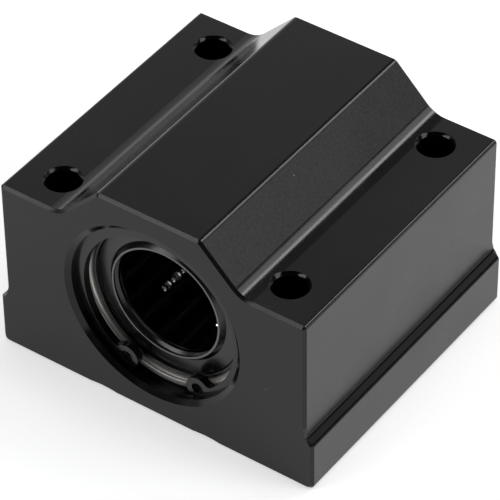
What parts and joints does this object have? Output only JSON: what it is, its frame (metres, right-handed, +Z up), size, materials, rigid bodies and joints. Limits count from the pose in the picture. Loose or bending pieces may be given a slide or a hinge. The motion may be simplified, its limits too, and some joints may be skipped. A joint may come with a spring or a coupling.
{
  "type": "linear bearing block",
  "caption": "Black anodised aluminium block with a ball bushing held by circlips, for guiding a 25 mm round shaft.",
  "frame": {"origin": "centre of the block's base", "axes": "+Z up from the base to the ridge, Y along the shaft bore with the pictured end at -Y, X across the width"},
  "size_m": [0.076, 0.067, 0.0515],
  "materials": {
    "anodised_case": "black anodised, satin",
    "spring_steel": "dark spring steel, stamped",
    "bearing_steel": "ground and turned bearing steel",
    "cage_resin": "black moulded resin",
    "seal_rubber": "black moulded rubber, matt",
    "ball_steel": "polished bearing balls"
  },
  "bodies": {
    "root": {"housing": "anodised_case", "front_circlip": "spring_steel", "rear_circlip": "spring_steel", "bearing_sleeve": "bearing_steel", "ball_cage": "cage_resin", "front_seal": "seal_rubber", "rear_seal": "seal_rubber", "ball_row_1": "ball_steel", "ball_row_2": "ball_steel", "ball_row_3": "ball_steel", "ball_row_4": "ball_steel", "ball_row_5": "ball_steel", "ball_row_6": "ball_steel"}
  },
  "joints": []
}
